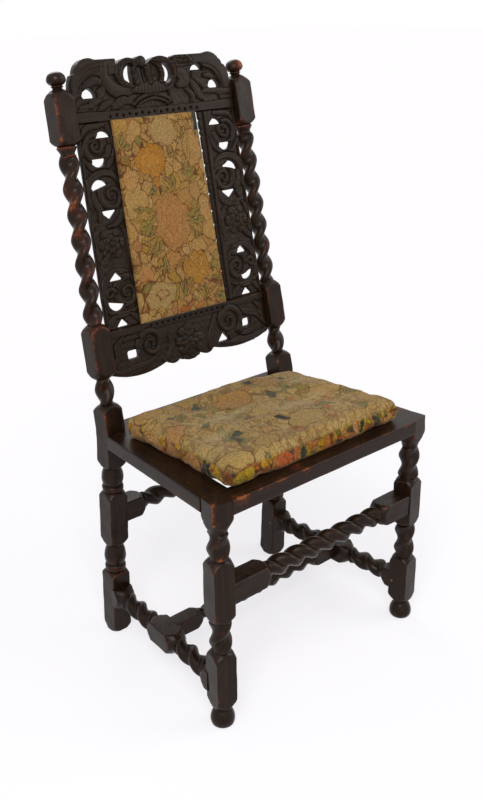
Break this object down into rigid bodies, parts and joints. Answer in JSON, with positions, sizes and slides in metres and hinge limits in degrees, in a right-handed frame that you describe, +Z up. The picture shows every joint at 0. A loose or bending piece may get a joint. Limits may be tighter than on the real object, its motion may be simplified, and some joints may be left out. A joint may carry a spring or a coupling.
{
  "type": "high-back side chair",
  "caption": "Joined high-back side chair with barley-twist legs, stretchers and posts, pierced carved back boards, a needlework back panel and a loose squab cushion.",
  "frame": {"origin": "on the floor, under the middle of the chair's outline", "axes": "+Z up, the front of the seat faces -Y, +X to the right of someone who looks at the front"},
  "size_m": [0.5274, 0.4938, 1.0953],
  "materials": {
    "dark_wood": "dark stained, waxed",
    "plain_pine": "bare",
    "oak_pegs": "waxed",
    "needlework": "wool worked on canvas",
    "squab_cover": "wool worked on canvas"
  },
  "bodies": {
    "chair": {"back_panel_board": "plain_pine", "back_panel_needlework": "needlework", "back_pegs": "oak_pegs", "back_stile_left": "dark_wood", "back_stile_right": "dark_wood", "crest_rail": "dark_wood", "front_leg_left": "dark_wood", "front_leg_right": "dark_wood", "front_stretcher": "dark_wood", "lower_back_rail": "dark_wood", "medial_stretcher": "dark_wood", "rear_post_left": "dark_wood", "rear_post_right": "dark_wood", "rear_stretcher": "dark_wood", "seat_back_rail": "dark_wood", "seat_front_rail": "dark_wood", "seat_rail_plug": "oak_pegs", "seat_side_rail_left": "dark_wood", "seat_side_rail_right": "dark_wood", "side_stretcher_left": "dark_wood", "side_stretcher_right": "dark_wood", "stretcher_pegs": "oak_pegs"},
    "squab": {"squab_cushion": "squab_cover"}
  },
  "joints": [
    {"name": "squab_lift", "type": "slide", "parent": "chair", "child": "squab", "axis": [0, 0, 1], "range_m": [0, 0.12]}
  ]
}
